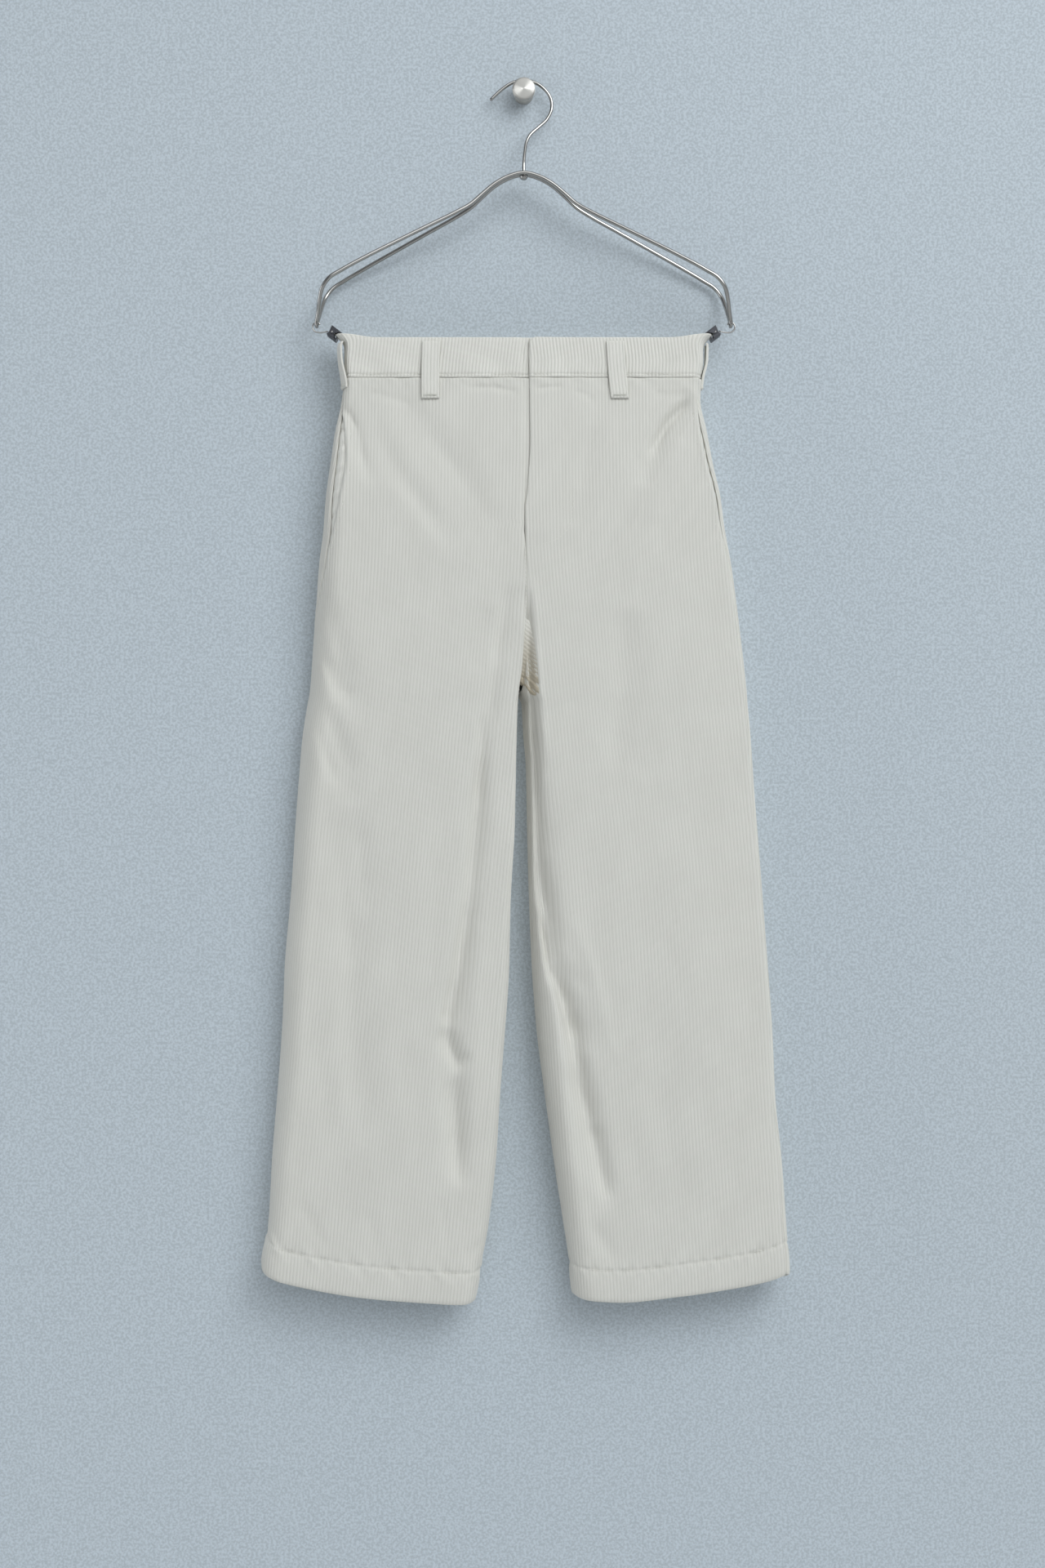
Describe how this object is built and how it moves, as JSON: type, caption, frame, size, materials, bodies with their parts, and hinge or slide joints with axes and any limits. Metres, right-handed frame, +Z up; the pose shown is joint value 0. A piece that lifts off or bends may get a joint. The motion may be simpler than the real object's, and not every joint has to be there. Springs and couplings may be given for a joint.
{
  "type": "corduroy trousers on a clip hanger and wall peg",
  "caption": "Wide-leg corduroy trousers with a fly, slant pockets and belt loops, clipped by the waist to a twin-wire hanger that hangs on a round wall peg.",
  "frame": {"origin": "centre of the peg's flat back face, on the wall", "axes": "+Z up along the garment's length, -Y the way the trousers' front faces, +Y into the wall, +X towards the wearer's left leg"},
  "size_m": [0.5042, 0.055, 1.173],
  "materials": {
    "corduroy": "fine cotton corduroy, off-white",
    "pocket_cloth": "plain cotton",
    "zip_tape": "woven tape",
    "wire": "polished steel wire",
    "clip_metal": "darkened spring steel",
    "peg_metal": "satin metal"
  },
  "bodies": {
    "root": {"front_right": "corduroy", "front_left": "corduroy", "back_right": "corduroy", "back_left": "corduroy", "waistband_right": "corduroy", "waistband_left": "corduroy", "fly_shield": "corduroy", "zip": "zip_tape", "pocket_bag_right": "pocket_cloth", "pocket_bag_left": "pocket_cloth", "loop_front_right": "corduroy", "loop_front_left": "corduroy", "loop_side_right": "corduroy", "loop_side_left": "corduroy", "loop_back": "corduroy", "hanger_hook": "wire", "hook_rivet": "wire", "bow_front": "wire", "bow_rear": "wire", "clip_right_inner_jaw": "clip_metal", "clip_right_outer_jaw": "clip_metal", "clip_right_spring": "wire", "clip_right_link": "wire", "clip_left_inner_jaw": "clip_metal", "clip_left_outer_jaw": "clip_metal", "clip_left_spring": "wire", "clip_left_link": "wire", "wall_peg": "peg_metal"}
  },
  "joints": []
}
